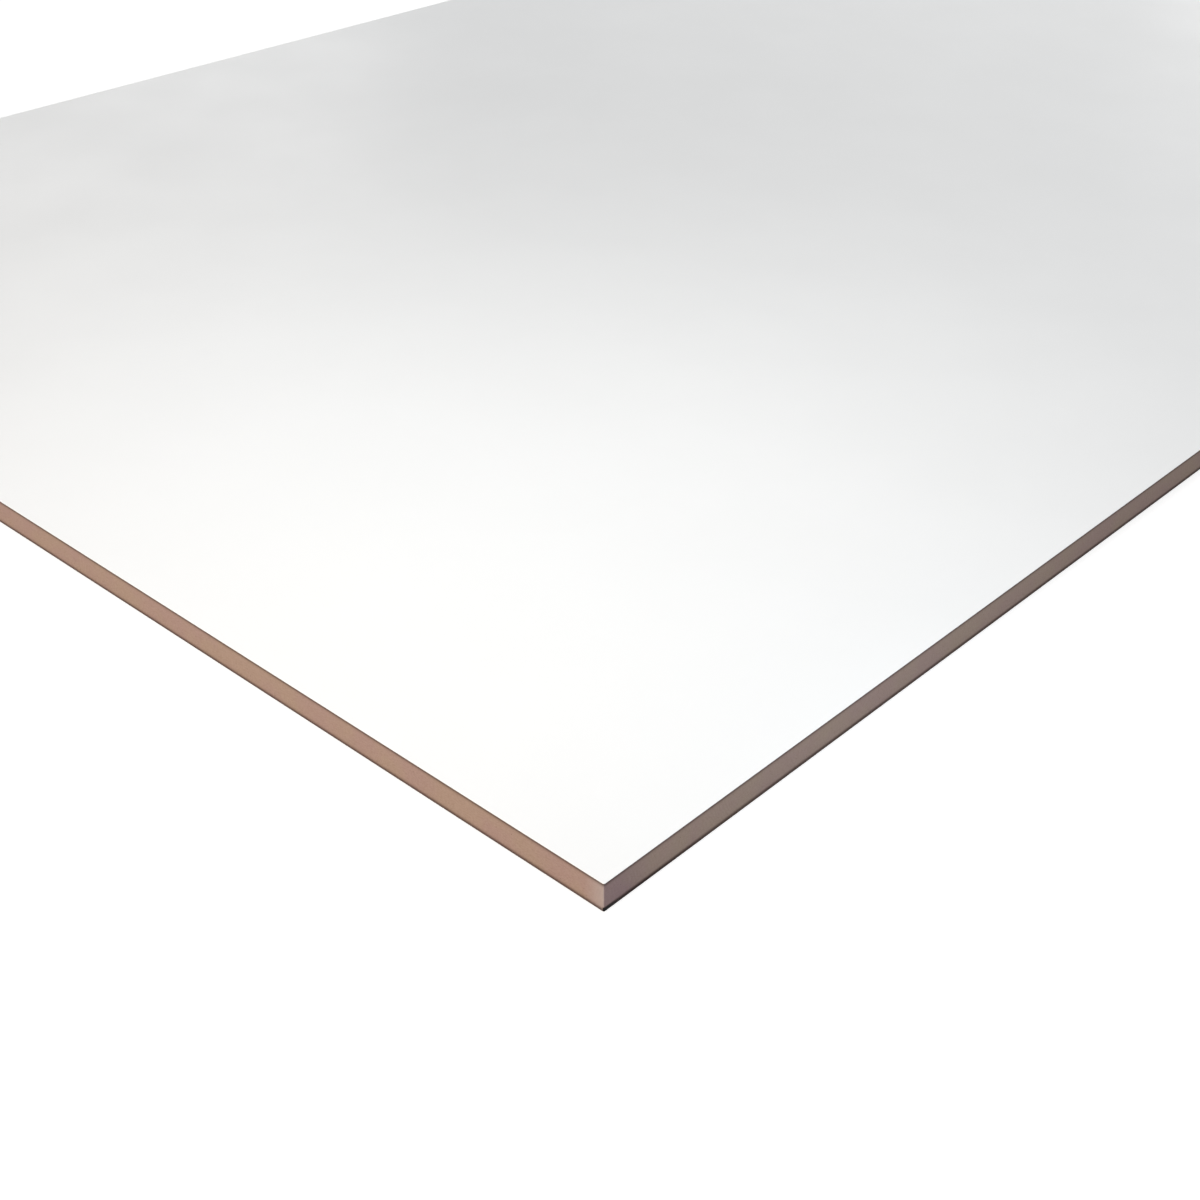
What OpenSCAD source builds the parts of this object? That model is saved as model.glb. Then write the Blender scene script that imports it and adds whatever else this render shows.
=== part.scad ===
// Medium-density fiberboard (MDF) sheet with a white melamine face on both sides:
// one full stock sheet, lying flat.
//
// A core of pressed wood fiber carries a film of resin-soaked paper on each face. The
// films are pressed on at the mill and the sheet is trimmed afterwards, so every edge is
// one sawn surface that runs through film, core and film, and the brown core shows bare
// between the two films.
//
// Origin: the middle of the underside. +X runs along the length, +Y across the width,
// +Z up through the thickness. All sizes are in millimetres.

/* [Sheet] */
// Length of the sheet
sheet_length = 2440; // [600:10:3660]
// Width of the sheet
sheet_width = 1220; // [300:10:2100]
// Thickness of the finished sheet, over both films
sheet_thickness = 18; // [6:0.5:38]

/* [Face films] */
// Thickness of the film on the upper face
top_film_thickness = 0.2; // [0.1:0.05:0.8]
// Thickness of the balancing film on the underside
bottom_film_thickness = 0.2; // [0.1:0.05:0.8]

/* [Sawn edges] */
// Radius of the four upright corners, rubbed blunt in handling
corner_radius = 1; // [1:0.1:5]
// Radius of the lower arris, rubbed blunt where the sheet slides and is stood on edge
lower_arris_radius = 0.5; // [0.3:0.05:0.8]

/* [Hidden] */

core_color = "#B08F7D";
film_color = "#F5F6F5";

// The levels where the layers meet, from the underside up
core_underside = bottom_film_thickness;
core_top = sheet_thickness - top_film_thickness;

// The middles of the corner curves
corner_x = sheet_length / 2 - corner_radius;
corner_y = sheet_width / 2 - corner_radius;

// Facets of a full circle, for the corners and the arris
$fn = 48;

// Section from a middle line out to a sawn face: square above, with the arris eased below
module half_section(reach) {
    arris = lower_arris_radius;

    intersection() {
        square([reach, sheet_thickness]);
        union() {
            square([reach - arris, sheet_thickness]);
            translate([0, arris]) square([reach, sheet_thickness - arris]);
            translate([reach - arris, arris]) circle(r = arris);
        }
    }
}

// A straight run of the whole section, `across` wide from one sawn face to the other,
// and `along` long
module straight_run(across, along) {
    rotate([90, 0, 0])
        linear_extrude(height = along, center = true)
            for (side = [0, 1])
                mirror([side, 0])
                    half_section(across / 2);
}

// The full thickness of the pressed sheet as it leaves the saw: one straight run each
// way, and the same section turned round each corner
module trimmed_sheet() {
    straight_run(sheet_length, 2 * corner_y);
    rotate(90) straight_run(sheet_width, 2 * corner_x);
    for (x = [-corner_x, corner_x], y = [-corner_y, corner_y])
        translate([x, y, 0])
            rotate_extrude()
                half_section(corner_radius);
}

// One layer of the sheet: what the saw leaves of it between two levels
module layer(from_z, to_z) {
    intersection() {
        trimmed_sheet();
        translate([-sheet_length, -sheet_width, from_z])
            cube([2 * sheet_length, 2 * sheet_width, to_z - from_z]);
    }
}

// The pressed wood-fiber board between the films
module mdf_core() {
    color(core_color)
        layer(core_underside, core_top);
}

// The white melamine film that is the face of the sheet
module top_face_film() {
    color(film_color)
        layer(core_top, sheet_thickness);
}

// The matching film on the underside, which keeps the sheet from bowing
module bottom_face_film() {
    color(film_color)
        layer(0, core_underside);
}

mdf_core();
top_face_film();
bottom_face_film();
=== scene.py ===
# %% [markdown]
# # A white-faced fibreboard sheet
# This lesson models and finishes one full sheet of medium-density fibreboard, MDF for
# short. Fine wood fibre and resin are pressed hot into a plate, a white melamine film is
# pressed on both faces, and a panel saw trims the four sides. So a sheet has three
# layers: film, fibre core, film. The two faces are white and satin, and the sawn sides
# show the brown core.
#
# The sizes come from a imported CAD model, the frame. Nothing in it is moved. Each layer is
# modelled again here with the detail that a CAD solid leaves out, in the same place.

# %% Load the frame
import math

import bpy
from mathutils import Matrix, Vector


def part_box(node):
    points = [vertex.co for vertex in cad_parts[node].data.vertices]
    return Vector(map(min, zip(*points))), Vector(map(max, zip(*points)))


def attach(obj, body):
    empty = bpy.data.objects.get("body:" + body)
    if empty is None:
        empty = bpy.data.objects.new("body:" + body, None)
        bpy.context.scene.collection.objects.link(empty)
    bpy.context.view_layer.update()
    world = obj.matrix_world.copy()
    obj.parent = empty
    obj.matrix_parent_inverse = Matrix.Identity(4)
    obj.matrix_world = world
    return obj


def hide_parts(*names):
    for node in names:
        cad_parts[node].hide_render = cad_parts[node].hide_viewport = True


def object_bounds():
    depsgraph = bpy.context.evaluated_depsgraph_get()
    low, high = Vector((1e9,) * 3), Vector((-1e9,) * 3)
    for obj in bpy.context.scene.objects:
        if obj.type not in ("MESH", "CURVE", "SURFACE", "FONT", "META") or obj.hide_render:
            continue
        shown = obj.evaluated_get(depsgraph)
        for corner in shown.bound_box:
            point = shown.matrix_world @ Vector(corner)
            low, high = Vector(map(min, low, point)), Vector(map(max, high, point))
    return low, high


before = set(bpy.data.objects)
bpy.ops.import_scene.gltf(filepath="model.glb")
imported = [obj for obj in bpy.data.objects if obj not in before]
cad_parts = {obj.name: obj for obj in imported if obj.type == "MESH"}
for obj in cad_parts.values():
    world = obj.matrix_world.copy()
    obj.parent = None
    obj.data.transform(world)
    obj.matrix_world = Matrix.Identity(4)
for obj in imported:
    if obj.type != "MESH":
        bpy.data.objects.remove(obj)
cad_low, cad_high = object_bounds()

print("CAD nodes:", ", ".join(sorted(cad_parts)))

# %% [markdown]
# ## Sizes
# Blender works in metres, and a board maker in millimetres, so one name, `mm`, stands
# between them. The layers' heights are read from the boxes of the CAD nodes. A box says
# nothing about rounding, so the two radii are measured on the nodes' own points: along a
# straight side, the last point lies one radius short of the corner.

# %% Read the sheet's sizes
mm = 0.001
hair = 0.001 * mm           # places closer than this count as one

core_low, core_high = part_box("mdf_core")
centre = (cad_low + cad_high) / 2
size = cad_high - cad_low


def last_point(node, axis, level):
    """The greatest x among a node's points that lie at one level of an axis."""
    points = [v.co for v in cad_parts[node].data.vertices]
    return max(p.x for p in points if abs(p[axis] - level) < hair)


corner_radius = cad_high.x - last_point("top_face_film", 1, cad_low.y)
arris_radius = cad_high.x - last_point("bottom_face_film", 2, cad_low.z)
print(f"sheet {size.x / mm:.0f} x {size.y / mm:.0f} x {size.z / mm:.1f} mm")
print(f"core from {core_low.z / mm:.2f} to {core_high.z / mm:.2f} mm")
print(f"corners {corner_radius / mm:.2f} mm, lower arris {arris_radius / mm:.2f} mm")

# %% [markdown]
# ## Camera
# A sheet this large is shown by one of its corners, seen from a little above it with
# the two nearest sides running away left and right. The camera is placed from that
# corner: its offset, how far it is turned from the short side towards the long one, and
# how far it looks down. A lens a little longer than normal keeps the sides from spreading.

# %% Place the camera
near_corner = Vector((cad_low.x, cad_low.y, cad_high.z))
eye_from_corner = Vector((-461.5, -428.8, 570.6)) * mm
turned_right = math.radians(46.934)
looking_down = math.radians(33.078)
lens_length = 53.3          # millimetres, the number that lenses are sold by

camera_data = bpy.data.cameras.new("camera")
camera_data.lens = lens_length
camera_data.clip_start = 10 * mm
camera = bpy.data.objects.new("camera", camera_data)
camera.location = near_corner + eye_from_corner
camera.rotation_euler = (math.pi / 2 - looking_down, 0, -turned_right)
bpy.context.scene.collection.objects.link(camera)
bpy.context.scene.camera = camera
print(f"camera {eye_from_corner.length / mm:.0f} mm from the near corner")

# %% [markdown]
# ## Choosing what an operator works on
# An operator acts on what is selected, so each step starts by clearing the selection and
# choosing again. By hand you would click; here a small test on place or direction
# does the clicking. One function opens a piece in edit mode with chosen edges, and
# another with chosen faces.

# %% Helpers for selecting
def only(piece):
    """Leaves one object selected and active, in object mode."""
    if bpy.context.mode != "OBJECT":
        bpy.ops.object.mode_set(mode="OBJECT")
    bpy.ops.object.select_all(action="DESELECT")
    piece.select_set(True)
    bpy.context.view_layer.objects.active = piece


def edit(piece, kind):
    """Opens a piece in edit mode, to work on its edges or faces, with none selected."""
    only(piece)
    bpy.ops.object.mode_set(mode="EDIT")
    bpy.ops.mesh.select_mode(type=kind)
    bpy.ops.mesh.select_all(action="DESELECT")


def edit_edges(piece, wanted):
    """Opens a piece with those edges selected whose two ends pass the test."""
    edit(piece, "EDGE")
    bpy.ops.object.mode_set(mode="OBJECT")
    points = piece.data.vertices
    for edge in piece.data.edges:
        a, b = (points[i].co for i in edge.vertices)
        edge.select = wanted(a, b)
    bpy.ops.object.mode_set(mode="EDIT")


def edit_faces(piece, wanted):
    """Opens a piece with those faces selected whose centre and normal pass the test."""
    edit(piece, "FACE")
    bpy.ops.object.mode_set(mode="OBJECT")
    for face in piece.data.polygons:
        face.select = wanted(face.center, face.normal)
    bpy.ops.object.mode_set(mode="EDIT")


level_enough = 0.999        # a level face's normal has at least this much Z in it


def at_level(z):
    """A test for edges that lie at one height."""
    return lambda a, b: abs(a.z - z) < hair and abs(b.z - z) < hair


def upright(a, b):
    """A test for edges that stand straight up over more than half the sheet."""
    return abs(a.z - b.z) > size.z / 2


# %% [markdown]
# ## The trimmed blank
# The saw trims film and core in one pass, so all three layers share one outline. It
# could be drawn three times, but then the layers could come to differ. Here one block
# is shaped to the outline and is later cut into layers. It starts as a cube at the
# sheet's size. Its four upright edges are bevelled into quarter rounds, as a light
# touch of sandpaper leaves them. Eight steps are enough for a radius of a millimetre.

# %% Shape the upright corners
corner_steps = 8

bpy.ops.object.select_all(action="DESELECT")
bpy.ops.mesh.primitive_cube_add(size=1, location=centre, scale=size)
blank = bpy.context.object
blank.name = "trimmed_blank"
bpy.ops.object.transform_apply(location=True, rotation=True, scale=True)

edit_edges(blank, upright)
bpy.ops.mesh.bevel(offset=corner_radius, segments=corner_steps, affect="EDGES")
bpy.ops.object.mode_set(mode="OBJECT")
print("blank with rounded corners:", len(blank.data.polygons), "faces")

# %% [markdown]
# ## The eased lower arris
# An arris is the sharp line where two faces meet. The upper one is left crisp, and the
# lower one, which slides over benches and floors, is eased to a small round. The bevel
# follows the whole rim, so it also turns the rounded corners. Its number of steps is
# chosen so that no ring of points comes to lie where the film will be cut off.

# %% Ease the lower arris
arris_steps = 6

edit_edges(blank, at_level(cad_low.z))
bpy.ops.mesh.bevel(offset=arris_radius, segments=arris_steps, affect="EDGES")
bpy.ops.object.mode_set(mode="OBJECT")
print("blank with its arris eased:", len(blank.data.polygons), "faces")

# %% [markdown]
# ## Three layers from one blank
# The blank is copied for each layer, and bisect cuts the copies level at the heights
# where film meets core. A film keeps its cut face. The core is left open at both cuts
# for now, because its wall is about to be divided, and closed faces would be divided
# with it.

# %% Cut the blank into layers
def layer(name):
    """A copy of the blank with its own mesh."""
    copy = blank.copy()
    copy.data = blank.data.copy()
    copy.name = copy.data.name = name
    bpy.context.scene.collection.objects.link(copy)
    return copy


def cut_level(piece, z, keep, closed=True):
    """Cuts a piece level at height z and keeps what is above or below."""
    edit(piece, "FACE")
    bpy.ops.mesh.select_all(action="SELECT")
    bpy.ops.mesh.bisect(
        plane_co=(0, 0, z), plane_no=(0, 0, 1), threshold=hair, use_fill=closed,
        clear_outer=keep == "below", clear_inner=keep == "above")
    bpy.ops.object.mode_set(mode="OBJECT")


white_top_face = layer("white_top_face")
cut_level(white_top_face, core_high.z, "above")

white_underside_face = layer("white_underside_face")
cut_level(white_underside_face, core_low.z, "below")

sawn_core = layer("sawn_core")
cut_level(sawn_core, core_high.z, "below", closed=False)
cut_level(sawn_core, core_low.z, "above", closed=False)

bpy.data.objects.remove(blank)
for piece in (white_top_face, sawn_core, white_underside_face):
    heights = [v.co.z / mm for v in piece.data.vertices]
    print(f"{piece.name}: {min(heights):.2f} to {max(heights):.2f} mm")

# %% [markdown]
# ## A wall with enough faces to take the saw
# The core's wall is four strips that are metres long, and a strip of one face can't
# carry any relief. Selected long edges are subdivided first along the sides, then up the
# wall. Two small numbers of cuts, one after the other, give many columns: the long side
# has 608 of 4 mm each. That is fine enough for a wandering blade and far too coarse for
# single fibres, which are left to the material.

# %% Divide the sawn wall
column_passes = {"long side": (0, (31, 18)), "short side": (1, (15, 18))}
wall_rows = 12


def runs_along(axis):
    """A test for level edges that run along one axis, outside the rounded corners."""
    return lambda a, b: (abs(a.z - b.z) < hair and abs(a[axis] - b[axis]) > mm
                         and abs(a[1 - axis] - b[1 - axis]) < hair)


for side, (axis, passes) in column_passes.items():
    for cuts in passes:
        edit_edges(sawn_core, runs_along(axis))
        bpy.ops.mesh.subdivide(number_cuts=cuts)
        bpy.ops.object.mode_set(mode="OBJECT")
    print(f"{side}: {math.prod(cuts + 1 for cuts in passes)} columns")

edit_edges(sawn_core, upright)
bpy.ops.mesh.subdivide(number_cuts=wall_rows - 1)
bpy.ops.object.mode_set(mode="OBJECT")
print("core wall:", len(sawn_core.data.polygons), "faces")

# %% [markdown]
# ## What the saw leaves
# A sawn fibreboard side is flat to the hand, but the blade wanders by a few hundredths
# of a millimetre, and the soft core tears a little deeper than its two hard skins. Two
# Displace modifiers with cloud textures press the wall in: a long shallow wander, and a
# short fuzz. A middle level of 1 means that the wall only moves inwards, so it never
# leaves the outline. A vertex group keeps the rims, where the films sit, straight.

# %% Press the blade's wander into the wall
rim_kept = 1 * mm
blade_marks = {
    "blade_wander": {"spread": 45 * mm, "depth": 0.09 * mm},
    "torn_fuzz": {"spread": 5 * mm, "depth": 0.04 * mm},
}

wall_points = [v.index for v in sawn_core.data.vertices
               if core_low.z + rim_kept < v.co.z < core_high.z - rim_kept]
sawn_core.vertex_groups.new(name="sawn_wall").add(wall_points, 1, "REPLACE")

only(sawn_core)
for name, mark in blade_marks.items():
    clouds = bpy.data.textures.new(name, "CLOUDS")
    clouds.noise_scale = mark["spread"]
    bpy.ops.object.modifier_add(type="DISPLACE")
    displace = sawn_core.modifiers[-1]
    displace.texture = clouds
    displace.texture_coords = "LOCAL"
    displace.strength = mark["depth"]
    displace.mid_level = 1
    displace.vertex_group = "sawn_wall"
    bpy.ops.object.modifier_apply(modifier=displace.name)
    print(f"{name}: up to {mark['depth'] / mm:.2f} mm deep, {mark['spread'] / mm:.0f} mm long")

# %% [markdown]
# ## Closing and shading
# The two open ends of the core are closed with one face each. They lie against the
# films and are never seen, but a solid with a hole in it isn't a solid. The films'
# faces get a narrow inset first. Smooth shading blends the directions of neighbouring
# faces, and without that border the round at the rim would tilt the light on the whole
# face. The upper film also gets a tiny bevel, because a real edge always has a glint.

# %% Finish the rims
glint = 0.05 * mm
border = 0.6 * mm
smooth_below = math.radians(50)

for z in (core_low.z, core_high.z):
    edit_edges(sawn_core, at_level(z))
    bpy.ops.mesh.edge_face_add()

edit_edges(white_top_face, at_level(cad_high.z))
bpy.ops.mesh.bevel(offset=glint, segments=2, affect="EDGES")

edit_faces(white_top_face, lambda middle, normal: normal.z > level_enough)
bpy.ops.mesh.inset(thickness=border)
edit_faces(white_underside_face, lambda middle, normal: normal.z < -level_enough)
bpy.ops.mesh.inset(thickness=border)

for piece in (white_top_face, sawn_core, white_underside_face):
    edit(piece, "FACE")
    bpy.ops.mesh.select_all(action="SELECT")
    bpy.ops.mesh.normals_make_consistent(inside=False)
    bpy.ops.object.mode_set(mode="OBJECT")
    bpy.ops.object.shade_smooth_by_angle(angle=smooth_below)
    print(f"{piece.name}: {len(piece.data.polygons)} faces")

# %% [markdown]
# ## Maps for baking
# The materials below read places in space and need no map. The export does: it bakes
# each pattern into a square picture, and its own unwrapping would lay the core's
# seven metres of wall out in one thin line. Here the wall is cut into 24 rows of about
# 300 mm that lie under each other, so its grain stays sharp. The films get the view
# from above, with their rims folded out into the border. A UV map named OFBake is the
# one that the export takes.

# %% Unroll the sawn wall in rows
rows_on_side = {"long": 8, "short": 4}
rows_in_all = 2 * sum(rows_on_side.values())
row_filled = 0.94
hidden_from, hidden_to = 0.0016, 0.0064


def hidden_place(point):
    """A place in the map's first corner, for faces that lie against another layer."""
    across = [(point[i] - cad_low[i]) / size[i] for i in (0, 1)]
    return [hidden_from + (hidden_to - hidden_from) * share for share in across]


def wall_place(point, normal, middle):
    """Where a point of the wall lies on the map. Its face's middle chooses the row."""
    along = 1 if abs(normal.x) > abs(normal.y) else 0
    rows = rows_on_side["short" if along else "long"]
    first = 2 * rows_on_side["long"] if along else 0
    first += rows if normal[1 - along] > 0 else 0
    start = cad_low[along] + corner_radius
    length = (size[along] - 2 * corner_radius) / rows
    row = min(max(int((middle[along] - start) / length), 0), rows - 1)
    u = 0.5 + row_filled * ((point[along] - start) / length - row - 0.5)
    v = 0.5 + row_filled * ((point.z - cad_low.z) / size.z - 0.5)
    return u, (first + row + v) / rows_in_all


def draw_map(piece, place):
    """Adds the map OFBake. place gives each point's spot from the point and its face."""
    mesh = piece.data
    spots = mesh.uv_layers.new(name="OFBake").uv
    for face in mesh.polygons:
        for loop in face.loop_indices:
            point = mesh.vertices[mesh.loops[loop].vertex_index].co
            spots[loop].vector = place(point, face)


def core_place(point, face):
    """Places for the core: only its wall is shown, and its two level faces are hidden."""
    if abs(face.normal.z) > level_enough:
        return hidden_place(point)
    return wall_place(point, face.normal, face.center)


draw_map(sawn_core, core_place)
print(f"core: {rows_in_all} rows of {size.x / rows_on_side['long'] / mm:.0f} mm")

# %% Lay the films flat
film_border = 0.012
rim_room = 0.005


def film_place(outer_z):
    """Places for a film whose shown face lies at outer_z: seen from above, rim folded out."""
    def place(point, face):
        if abs(face.normal.z) > level_enough and abs(face.center.z - outer_z) > hair:
            return hidden_place(point)
        depth = abs(point.z - outer_z) / (core_low.z - cad_low.z)
        spot = []
        for i in (0, 1):
            across = (point[i] - cad_low[i]) / size[i]
            inside = min(cad_high[i] - point[i], point[i] - cad_low[i]) / corner_radius
            fold = rim_room * depth * max(0, 1 - inside) * (1 if across > 0.5 else -1)
            spot.append(film_border + (1 - 2 * film_border) * across + fold)
        return spot
    return place


draw_map(white_top_face, film_place(cad_high.z))
draw_map(white_underside_face, film_place(cad_low.z))
print("films: one flat map each")

# %% [markdown]
# ## Building materials out of nodes
# A colour picked on a screen is sRGB, and a shader wants linear light, so one function
# turns hex values over. Another adds a node, sets its settings and fills or links its
# inputs. With these two every material below reads from top to bottom: first the places,
# then the patterns, then the shader.

# %% Helpers for nodes
def linear(hex_colour):
    """An sRGB hex colour as the four linear values that a socket takes."""
    parts = [int(hex_colour[i:i + 2], 16) / 255 for i in (1, 3, 5)]
    return [c / 12.92 if c <= 0.04045 else ((c + 0.055) / 1.055) ** 2.4 for c in parts] + [1]


def add(tree, kind, inputs=(), **settings):
    """Adds a node. inputs gives sockets, by name or number, a value or an output to link."""
    node = tree.nodes.new(kind)
    for name, value in settings.items():
        setattr(node, name, value)
    for name, value in dict(inputs).items():
        if isinstance(value, bpy.types.NodeSocket):
            tree.links.new(value, node.inputs[name])
        else:
            node.inputs[name].default_value = value
    return node


def empty_material(name):
    """A material whose nodes are all still to be added."""
    material = bpy.data.materials.new(name)
    material.use_nodes = True
    material.node_tree.nodes.clear()
    return material


# A Mix node has sockets of one name for each kind of value. These are its colour ones.
MIX_FACTOR, MIX_A, MIX_B, MIX_RESULT = 0, 6, 7, 2
print("linear value of mid grey #808080:", round(linear("#808080")[0], 3))

# %% [markdown]
# ## Sawn MDF
# Common name: medium-density fibreboard, beech and pine fibre in urea resin, hot pressed
# and cut with a fine panel saw. What the eye gets is an even, matt, warm brown. Close
# up there are short fibres lying level, because the mat was pressed from above. The
# press heats the faces first, so the outer two or three millimetres are denser and
# darker, darkest right under the film. Batches of fibre drift from yellowish to pinkish,
# and here and there sits a crumb of bark.
#
# It could be one picture wrapped round the sheet, but then the corners wouldn't match.
# A solid pattern in space does what the real board does: every cut shows the inside.
# Batches and fibres are noise, whose values lie round 0.5 and seldom leave 0.3 to 0.7.
# A Map Range node picks the stretch of them that becomes the share of a colour.

# %% Sawn MDF: the batches
FIBRE_BROWN = linear("#AA9385")
PINKISH_BATCH = linear("#A98F87")
batch_length = 26 * mm

sawn_mdf = empty_material("sawn_mdf")
tree = sawn_mdf.node_tree
place = add(tree, "ShaderNodeTexCoord").outputs["Object"]

batches = add(tree, "ShaderNodeTexNoise", {
    "Vector": place, "Scale": 1 / batch_length, "Detail": 2, "Roughness": 0.5})
batch_share = add(tree, "ShaderNodeMapRange", {
    "Value": batches.outputs[0], "From Min": 0.4, "From Max": 0.62})
batch_colour = add(tree, "ShaderNodeMix", {
    MIX_FACTOR: batch_share.outputs[0], MIX_A: FIBRE_BROWN, MIX_B: PINKISH_BATCH},
    data_type="RGBA")
print(f"batches of {batch_length / mm:.0f} mm")

# %% Sawn MDF: the fibres
PALE_FIBRE = linear("#BAA493")
DARK_FIBRE = linear("#8F7664")
fibre_length = 1.8 * mm     # real fibres are finer; drawn coarse enough to show
fibre_thickness = 0.45 * mm
dark_most, pale_most = 0.45, 0.4

level_fibres = add(tree, "ShaderNodeVectorMath", {
    0: place, 1: (1 / fibre_length, 1 / fibre_length, 1 / fibre_thickness)},
    operation="MULTIPLY")
fibres = add(tree, "ShaderNodeTexNoise", {
    "Vector": level_fibres.outputs[0], "Scale": 1, "Detail": 3, "Roughness": 0.6})
dark_share = add(tree, "ShaderNodeMapRange", {
    "Value": fibres.outputs[0], "From Min": 0.5, "From Max": 0.28, "To Max": dark_most})
pale_share = add(tree, "ShaderNodeMapRange", {
    "Value": fibres.outputs[0], "From Min": 0.5, "From Max": 0.72, "To Max": pale_most})
with_dark = add(tree, "ShaderNodeMix", {
    MIX_FACTOR: dark_share.outputs[0], MIX_A: batch_colour.outputs[MIX_RESULT],
    MIX_B: DARK_FIBRE}, data_type="RGBA")
with_pale = add(tree, "ShaderNodeMix", {
    MIX_FACTOR: pale_share.outputs[0], MIX_A: with_dark.outputs[MIX_RESULT],
    MIX_B: PALE_FIBRE}, data_type="RGBA")
print(f"fibres of {fibre_length / mm:.1f} x {fibre_thickness / mm:.2f} mm")

# %% Sawn MDF: the crumbs of bark
BARK = linear("#5E4334")
bark_spacing = 5 * mm
bark_radius = 0.35 * mm
bark_most = 0.7

crumbs = add(tree, "ShaderNodeTexVoronoi", {"Vector": place, "Scale": 1 / bark_spacing})
crumb_share = add(tree, "ShaderNodeMapRange", {
    "Value": crumbs.outputs["Distance"], "From Min": bark_radius / bark_spacing,
    "From Max": 0.4 * bark_radius / bark_spacing, "To Max": bark_most})
with_bark = add(tree, "ShaderNodeMix", {
    MIX_FACTOR: crumb_share.outputs[0], MIX_A: with_pale.outputs[MIX_RESULT],
    MIX_B: BARK}, data_type="RGBA")
print(f"a crumb every {bark_spacing / mm:.0f} mm")

# %% [markdown]
# Every corner has two looks, and both are painted light. The short side faces the side
# lamp, and its last centimetre before each corner is painted paler, a painted highlight.
# The whole long side is painted a shade darker and cooler as painted shade, and over the
# last few centimetres before each corner it is painted darker still. Two numbers tell
# where a point is: its distance to the corner, and whether the long or the short side is
# the nearer one.

# %% Sawn MDF: how far to the corner, and which side
from_centre = add(tree, "ShaderNodeVectorMath", {0: place, 1: centre},
                  operation="SUBTRACT")
out_from_centre = add(tree, "ShaderNodeVectorMath", {0: from_centre.outputs[0]},
                      operation="ABSOLUTE")
to_sides = add(tree, "ShaderNodeVectorMath", {0: size / 2, 1: out_from_centre.outputs[0]},
               operation="SUBTRACT")
to_side = add(tree, "ShaderNodeSeparateXYZ", {0: to_sides.outputs[0]}).outputs
to_corner = add(tree, "ShaderNodeMath", {0: to_side["X"], 1: to_side["Y"]},
                operation="MAXIMUM")
nearer_long = add(tree, "ShaderNodeMath", {0: to_side["X"], 1: to_side["Y"]},
                  operation="SUBTRACT")
print(f"the middle of a long side is {size.x / 2 / mm:.0f} mm from its corners")

# %% Sawn MDF: the painted highlight and the painted shade at the corners
# painted highlight: the short side is painted paler over its last centimetre before each
# corner
PAINTED_HIGHLIGHT = linear("#B6AAA6")
# painted shade: the whole long side is painted darker and cooler
LONG_SIDE_SHADE = linear("#E8EAE9")     # these two are multiplied in, so they are tints
# painted shade: the long side is painted darker still over the last centimetres before each
# corner
CORNER_SHADE = linear("#EEEBF9")
highlight_most = 0.74
highlight_from, highlight_to = 13 * mm, 0.5 * mm
corner_shade_from, corner_shade_to = 42 * mm, 8 * mm
turn = 0.25 * corner_radius     # how far round the bend the two looks blend

long_share = add(tree, "ShaderNodeMapRange", {
    "Value": nearer_long.outputs[0], "From Min": -turn, "From Max": turn})
short_share = add(tree, "ShaderNodeMapRange", {
    "Value": nearer_long.outputs[0], "From Min": 2 * turn, "From Max": 0,
    "To Max": highlight_most})
highlight_share = add(tree, "ShaderNodeMapRange", {
    "Value": to_corner.outputs[0], "From Min": highlight_from, "From Max": highlight_to,
    "To Max": short_share.outputs[0]})
corner_shade_share = add(tree, "ShaderNodeMapRange", {
    "Value": to_corner.outputs[0], "From Min": corner_shade_from, "From Max": corner_shade_to,
    "To Max": long_share.outputs[0]}, interpolation_type="SMOOTHSTEP")
highlighted_colour = add(tree, "ShaderNodeMix", {
    MIX_FACTOR: highlight_share.outputs[0], MIX_A: with_bark.outputs[MIX_RESULT],
    MIX_B: PAINTED_HIGHLIGHT}, data_type="RGBA")
long_shaded_colour = add(tree, "ShaderNodeMix", {
    MIX_FACTOR: long_share.outputs[0], MIX_A: highlighted_colour.outputs[MIX_RESULT],
    MIX_B: LONG_SIDE_SHADE}, data_type="RGBA", blend_type="MULTIPLY")
corner_shaded_colour = add(tree, "ShaderNodeMix", {
    MIX_FACTOR: corner_shade_share.outputs[0], MIX_A: long_shaded_colour.outputs[MIX_RESULT],
    MIX_B: CORNER_SHADE}, data_type="RGBA", blend_type="MULTIPLY")
print(f"highlight painted over {highlight_from / mm:.0f} mm, shade painted over {corner_shade_from / mm:.0f} mm")

# %% [markdown]
# The skins need the height only. A share runs from 0 inside the board to 1 at the film
# and darkens the colour by a tint, and a steeper share on top of it makes the thin dark
# line where resin from the film soaked in. The dense skin at the bottom is drawn a little
# wider than the one at the top, to take painted shade along the floor. The lower rim
# carries a painted contact shadow, a dark line of two or three millimetres where the
# sheet meets the floor. It is weaker on the short sides, which the side lamp reaches, and
# strongest on the long side near its ends, and at the very tip under the corner it is
# painted nearly black, right round the bend.

# %% Sawn MDF: how much painted contact shadow each stretch gets
# painted contact shadow along the lower rim: weaker on the short sides, strongest on the long
# side near its corners
short_rim_shade, long_rim_shade = 0.72, 0.78
rim_shade_from, rim_shade_to = 80 * mm, 25 * mm
tip_from, tip_to = 12 * mm, 3 * mm

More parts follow.
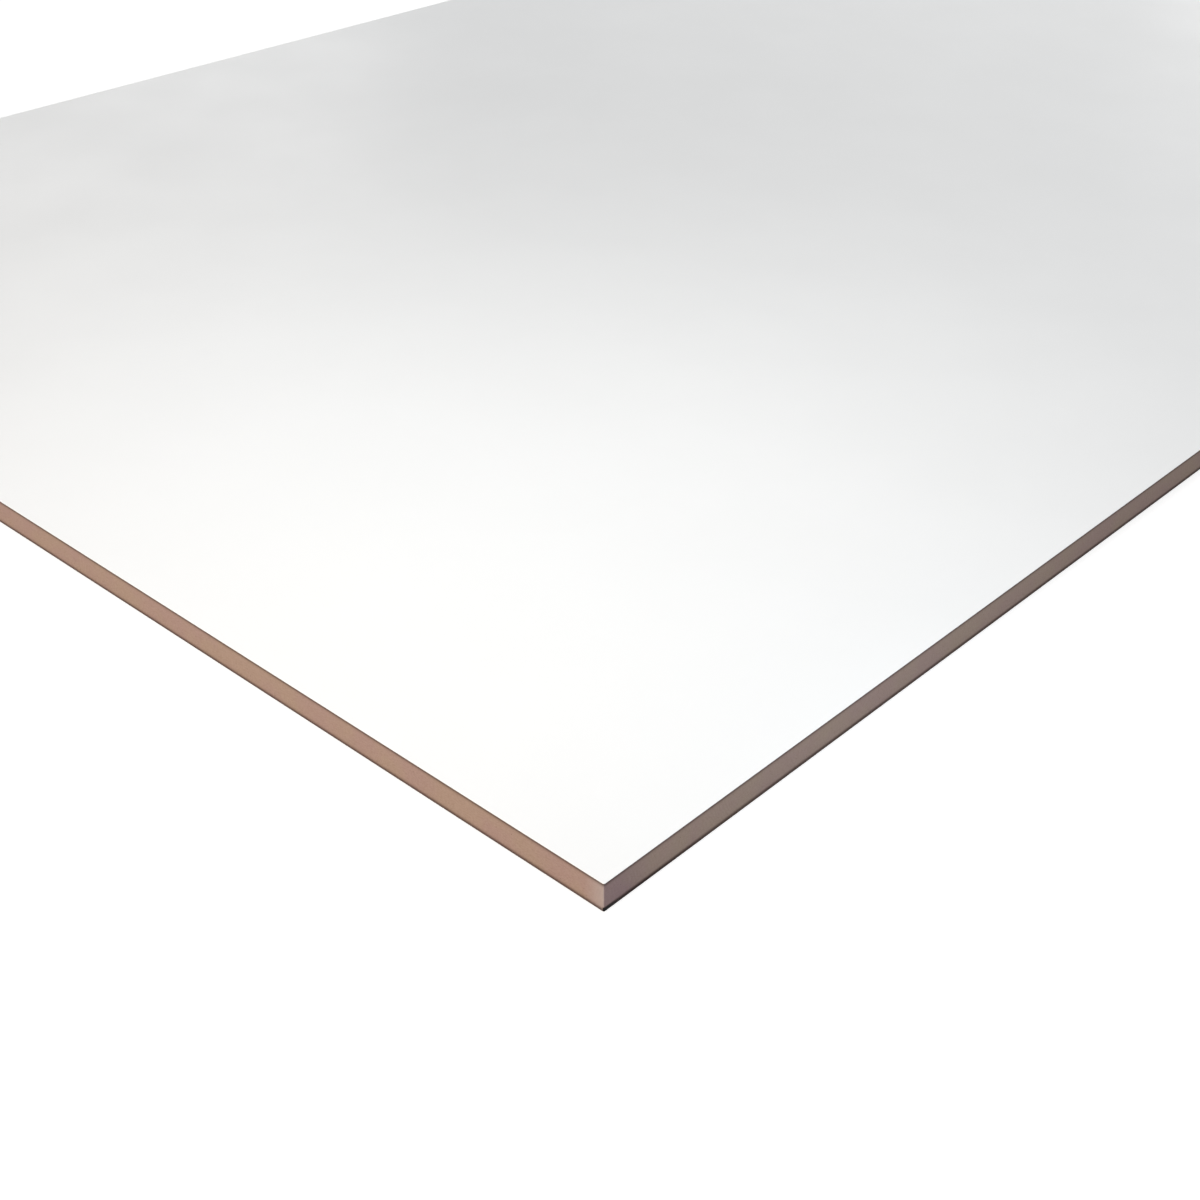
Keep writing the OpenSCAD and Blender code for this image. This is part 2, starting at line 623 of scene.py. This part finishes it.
near_corner_rim_shade = add(tree, "ShaderNodeMapRange", {
    "Value": to_corner.outputs[0], "From Min": rim_shade_from, "From Max": rim_shade_to,
    "To Min": long_rim_shade, "To Max": 1})
along_long = add(tree, "ShaderNodeMapRange", {
    "Value": nearer_long.outputs[0], "From Min": -turn, "From Max": turn,
    "To Max": near_corner_rim_shade.outputs[0]})
along_short = add(tree, "ShaderNodeMapRange", {
    "Value": nearer_long.outputs[0], "From Min": turn, "From Max": -turn,
    "To Max": short_rim_shade})
round_bend = add(tree, "ShaderNodeMapRange", {
    "Value": nearer_long.outputs[0], "From Min": -corner_radius,
    "From Max": -corner_radius / 2})
at_tip = add(tree, "ShaderNodeMapRange", {
    "Value": to_corner.outputs[0], "From Min": tip_from, "From Max": tip_to,
    "To Max": round_bend.outputs[0]})
print(f"contact shadow strongest up to {rim_shade_to / mm:.0f} mm from a corner")

# %% Sawn MDF: the dense skins and the painted contact shadow
DENSE_SKIN = linear("#E0DCDA")      # these four are multiplied in, so they are tints
SOAKED_SKIN = linear("#A09A97")
# painted contact shadow where the sheet meets the floor, nearly black at the tip under each
# corner
RIM_CONTACT_SHADE = linear("#45241F")
TIP_CONTACT_SHADE = linear("#17110F")

low, high = core_low.z, core_high.z
skins = {      # starts at, is full at, tint, at most
    "upper skin": (high - 3.4 * mm, high, DENSE_SKIN, 1),
    "upper soaked line": (high - 2.2 * mm, high, SOAKED_SKIN, 1),
    # the bottom skin is real, and drawn wider than the top one to take painted shade along the
    # floor
    "lower skin and floor shade": (low + 4 * mm, low, DENSE_SKIN, 1),
    "short side contact shade": (low + 2.8 * mm, low + 0.5 * mm, RIM_CONTACT_SHADE, along_short.outputs[0]),
    "long side contact shade": (low + 3.5 * mm, low + 1.1 * mm, RIM_CONTACT_SHADE, along_long.outputs[0]),
    "tip contact shade": (low + 3.2 * mm, low + 2 * mm, TIP_CONTACT_SHADE, at_tip.outputs[0]),
}

height = add(tree, "ShaderNodeSeparateXYZ", {0: place}).outputs["Z"]
wall_colour = corner_shaded_colour
for name, (start, full, tint, most) in skins.items():
    share = add(tree, "ShaderNodeMapRange", {
        "Value": height, "From Min": start, "From Max": full, "To Max": most},
        interpolation_type="SMOOTHSTEP")
    wall_colour = add(tree, "ShaderNodeMix", {
        MIX_FACTOR: share.outputs[0], MIX_A: wall_colour.outputs[MIX_RESULT],
        MIX_B: tint}, data_type="RGBA", blend_type="MULTIPLY")
    print(f"{name}: {abs(full - start) / mm:.1f} mm")

# %% [markdown]
# A saw tooth scores the side at every step of the feed. The blade is large, so on a
# thin sheet its arcs look like straight slanted lines. One sine along x + y serves all
# four sides, because on each side one of the two stands still. Noise is added to the
# phase, or the lines would look printed. All of it is only bump: the scores are a few
# hundredths of a millimetre deep.

# %% Sawn MDF: saw scores, bump and shader
score_pitch = 2.2 * mm
score_slant = 0.4
score_wander = 9            # how many pitches the noise may shift a score
score_depth = 0.02 * mm
fibre_lift = 0.05 * mm
smoothest, roughest = 0.78, 0.92

across_scores = add(tree, "ShaderNodeVectorMath", {
    0: place, 1: (1 / score_pitch, 1 / score_pitch, score_slant / score_pitch)},
    operation="DOT_PRODUCT")
wandering = add(tree, "ShaderNodeMath", {
    0: batches.outputs[0], 1: score_wander, 2: across_scores.outputs["Value"]},
    operation="MULTIPLY_ADD")
phase = add(tree, "ShaderNodeMath", {0: wandering.outputs[0], 1: 2 * math.pi},
            operation="MULTIPLY")
scores = add(tree, "ShaderNodeMath", {0: phase.outputs[0]}, operation="SINE")
score_bump = add(tree, "ShaderNodeBump", {
    "Height": scores.outputs[0], "Strength": 1, "Distance": score_depth})
fibre_bump = add(tree, "ShaderNodeBump", {
    "Height": fibres.outputs[0], "Strength": 1, "Distance": fibre_lift,
    "Normal": score_bump.outputs[0]})
roughness = add(tree, "ShaderNodeMapRange", {
    "Value": fibres.outputs[0], "From Min": 0.3, "From Max": 0.7,
    "To Min": smoothest, "To Max": roughest})
shader = add(tree, "ShaderNodeBsdfPrincipled", {
    "Base Color": wall_colour.outputs[MIX_RESULT], "Roughness": roughness.outputs[0],
    "IOR": 1.45, "Specular IOR Level": 0.35, "Normal": fibre_bump.outputs[0]})
add(tree, "ShaderNodeOutputMaterial", {"Surface": shader.outputs[0]})
print(f"saw scores every {score_pitch / mm:.1f} mm")

# %% [markdown]
# ## White melamine film
# Common name: melamine-faced finish, paper soaked in resin and cured against a steel
# press plate. What the eye gets is a clean, very slightly warm white with a satin
# sheen. The plate leaves a soft pearl in it, and where it has worn the sheen changes
# slowly over the sheet. The colour drifts by less than the eye would name, yet without
# that drift a large white face looks like paper. The thin rim of the film below the core
# is painted dark brown, as part of the painted contact shadow along the board's lower
# rim. That rim is the only visible part of either film near the lower glue line, so the
# distance to that line picks it out.

# %% White melamine: the colour
FILM_WHITE = linear("#F5F5F4")
FILM_SHADE = linear("#F4F4F3")
white_drift = 90 * mm

white_melamine = empty_material("melamine_film")
tree = white_melamine.node_tree
place = add(tree, "ShaderNodeTexCoord").outputs["Object"]

drift = add(tree, "ShaderNodeTexNoise", {
    "Vector": place, "Scale": 1 / white_drift, "Detail": 4, "Roughness": 0.55})
drift_share = add(tree, "ShaderNodeMapRange", {
    "Value": drift.outputs[0], "From Min": 0.35, "From Max": 0.65})
film_colour = add(tree, "ShaderNodeMix", {
    MIX_FACTOR: drift_share.outputs[0], MIX_A: FILM_WHITE, MIX_B: FILM_SHADE},
    data_type="RGBA")
print(f"white drifts over {white_drift / mm:.0f} mm")

# %% White melamine: painted shadow on the lower rim
# painted contact shadow on the thin rim of the underside film
FILM_RIM_SHADE = linear("#432E26")
rim_height = core_low.z - cad_low.z

height = add(tree, "ShaderNodeSeparateXYZ", {0: place}).outputs["Z"]
above_glue = add(tree, "ShaderNodeMath", {0: height, 1: core_low.z}, operation="SUBTRACT")
glue_distance = add(tree, "ShaderNodeMath", {0: above_glue.outputs[0]},
                    operation="ABSOLUTE")
rim_share = add(tree, "ShaderNodeMapRange", {
    "Value": glue_distance.outputs[0], "From Min": 0.9 * rim_height,
    "From Max": 0.6 * rim_height})
with_rim = add(tree, "ShaderNodeMix", {
    MIX_FACTOR: rim_share.outputs[0], MIX_A: film_colour.outputs[MIX_RESULT],
    MIX_B: FILM_RIM_SHADE}, data_type="RGBA")
print(f"rim of {rim_height / mm:.1f} mm")

# %% White melamine: sheen, pearl and shader
sheen_drift = 180 * mm
pearl_size = 6 * mm         # the real pearl is under 1 mm; drawn coarse enough to bake
pearl_depth = 0.012 * mm
most_polished, most_worn = 0.34, 0.44       # roughness of the film

sheen = add(tree, "ShaderNodeTexNoise", {
    "Vector": place, "Scale": 1 / sheen_drift, "Detail": 3, "Roughness": 0.6})
film_roughness = add(tree, "ShaderNodeMapRange", {
    "Value": sheen.outputs[0], "From Min": 0.3, "From Max": 0.7,
    "To Min": most_polished, "To Max": most_worn})
pearl = add(tree, "ShaderNodeTexNoise", {
    "Vector": place, "Scale": 1 / pearl_size, "Detail": 1, "Roughness": 0.4})
pearl_bump = add(tree, "ShaderNodeBump", {
    "Height": pearl.outputs[0], "Strength": 1, "Distance": pearl_depth})
shader = add(tree, "ShaderNodeBsdfPrincipled", {
    "Base Color": with_rim.outputs[MIX_RESULT], "Roughness": film_roughness.outputs[0],
    "IOR": 1.5, "Normal": pearl_bump.outputs[0]})
add(tree, "ShaderNodeOutputMaterial", {"Surface": shader.outputs[0]})
print(f"pearl of {pearl_size / mm:.0f} mm, sheen drifts over {sheen_drift / mm:.0f} mm")

# %% [markdown]
# ## Dressing the layers
# Each layer takes its material, stands in for its CAD node and rides on the sheet's one
# body.

# %% Dress the layers and hand them to the frame
dress = {
    "mdf_core": (sawn_core, sawn_mdf, "raw_mdf"),
    "top_face_film": (white_top_face, white_melamine, "white_melamine"),
    "bottom_face_film": (white_underside_face, white_melamine, "white_melamine"),
}
for node, (piece, material, slot) in dress.items():
    piece.data.materials.clear()
    piece.data.materials.append(material)
    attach(piece, "root")
    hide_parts(node)
    print(f"{piece.name} stands for {node} in {material.name}")

# %% [markdown]
# ## Floor and surroundings
# The sheet lies on a plain pale floor in a bright room. The floor has two looks: lamps
# and the sheet meet a matt pale grey, which throws a natural amount of light up at the
# sawn sides, and the camera sees that same floor lifted by a glow of its own until it
# reads white. The soft shadow along the sheet stays in it. The room does the same: it
# lights the sheet gently and slightly cool, as daylight in a room does, and shows white.
# Both ask the same thing, whether a ray looks from the camera, from a reflection or
# through glass, so one function builds that answer.

# %% Lay the floor
FLOOR_PALE = linear("#CECDCB")
floor_side = 60             # metres, so that its far edge is out of sight
floor_drop = 0.1 * mm       # keeps floor and underside from lying in one plane
floor_glow = 0.67


def looking_ray(tree):
    """Gives 1 for a ray that looks, straight or by a reflection or glass, and 0 for light."""
    ray = add(tree, "ShaderNodeLightPath").outputs
    straight = add(tree, "ShaderNodeMath", {
        0: ray["Is Camera Ray"], 1: ray["Is Glossy Ray"]}, operation="MAXIMUM")
    return add(tree, "ShaderNodeMath", {
        0: straight.outputs[0], 1: ray["Is Transmission Ray"]}, operation="MAXIMUM").outputs[0]


bpy.ops.object.select_all(action="DESELECT")
bpy.ops.mesh.primitive_plane_add(size=floor_side, location=(0, 0, cad_low.z - floor_drop))
floor = bpy.context.object
floor.name = "floor"
bpy.ops.object.transform_apply(location=True, rotation=True, scale=True)

pale_floor = empty_material("pale_floor")
tree = pale_floor.node_tree
glow_strength = add(tree, "ShaderNodeMath", {0: looking_ray(tree), 1: floor_glow},
                    operation="MULTIPLY")
matt = add(tree, "ShaderNodeBsdfDiffuse", {"Color": FLOOR_PALE})
glow = add(tree, "ShaderNodeEmission", {"Strength": glow_strength.outputs[0]})
both = add(tree, "ShaderNodeAddShader", {0: matt.outputs[0], 1: glow.outputs[0]})
add(tree, "ShaderNodeOutputMaterial", {"Surface": both.outputs[0]})
floor.data.materials.append(pale_floor)
print(f"floor {floor_side} m across")

# %% Light the room
ROOM_COOL = linear("#F7FBFF")
room_light = 0.55

room = bpy.data.worlds.new("room")
room.use_nodes = True
bpy.context.scene.world = room
tree = room.node_tree
tree.nodes.clear()
lit = add(tree, "ShaderNodeBackground", {"Color": ROOM_COOL, "Strength": room_light})
shown = add(tree, "ShaderNodeBackground", {"Color": (1, 1, 1, 1), "Strength": 1})
either = add(tree, "ShaderNodeMixShader", {
    0: looking_ray(tree), 1: lit.outputs[0], 2: shown.outputs[0]})
add(tree, "ShaderNodeOutputWorld", {"Surface": either.outputs[0]})
bpy.context.scene.view_settings.view_transform = "Standard"
print(f"room light {room_light}")

# %% [markdown]
# ## Lamps
# A white satin face is lit with large and rather dim panels: such a panel leaves no hard
# spot in the film, yet it shapes the tones. One hangs low over the near corner, so its
# light fades along the face. A long one stands off the short side and makes that sawn
# side the brighter, warmer one. A weak cool one faces the long side, and a small low one
# close to it lets that side fade towards its far end. Three more keep the far half of
# the face and the far sides from going dark. The camera sees none of them. The long one
# and the small low one are kept out of reflections too, or seen from the far end they
# would lie on the film like puddles.

# %% Hang the panels
panels = {      # places and aims in metres from the near upper corner, powers in watts
    "overhead_panel": {"place": (0.11, 0.25, 0.48), "aim": (0.13, 0.26, 0),
                       "size": (0.75, 0.75), "power": 1.75, "colour": "#FDFFFF"},
    "side_panel": {"place": (-1.5, 0.25, 0.5), "aim": (0, 0.25, 0.1),
                   "size": (2.4, 1.0), "power": 16, "colour": "#FFDFBD"},
    "front_panel": {"place": (0.45, -1.2, 0.4), "aim": (0.45, 0, 0.1),
                    "size": (1.2, 0.6), "power": 0.8, "colour": "#8FBFFF"},
    "low_panel": {"place": (0.194, -0.185, 0.077), "aim": (0.194, 0, -0.009),
                  "size": (0.25, 0.12), "power": 0.104, "colour": "#D6EBFF"},
    "far_panel": {"place": (1.85, 0.62, 0.85), "aim": (1.85, 0.61, 0),
                  "size": (1.3, 1.5), "power": 2.4, "colour": "#FFFDFA"},
    "back_panel": {"place": (1.2, 3.0, 0.5), "aim": (1.2, 1.22, 0),
                   "size": (2.4, 0.8), "power": 6, "colour": "#FFFDFA"},
    "end_panel": {"place": (4.2, 0.6, 0.5), "aim": (2.44, 0.6, 0),
                  "size": (2.4, 0.8), "power": 6, "colour": "#FFFDFA"},
}
unmirrored = ("side_panel", "low_panel")

for name, panel in panels.items():
    lamp = bpy.data.lights.new(name, "AREA")
    lamp.shape = "RECTANGLE"
    lamp.size, lamp.size_y = panel["size"]
    lamp.energy = panel["power"]
    lamp.color = linear(panel["colour"])[:3]
    holder = bpy.data.objects.new(name, lamp)
    holder.location = near_corner + Vector(panel["place"])
    aim = near_corner + Vector(panel["aim"])
    holder.rotation_euler = (aim - holder.location).to_track_quat("-Z", "Y").to_euler()
    holder.visible_camera = False
    holder.visible_glossy = name not in unmirrored
    bpy.context.scene.collection.objects.link(holder)
    print(f"{name}: {panel['power']} W, {panel['size'][0]} x {panel['size'][1]} m")
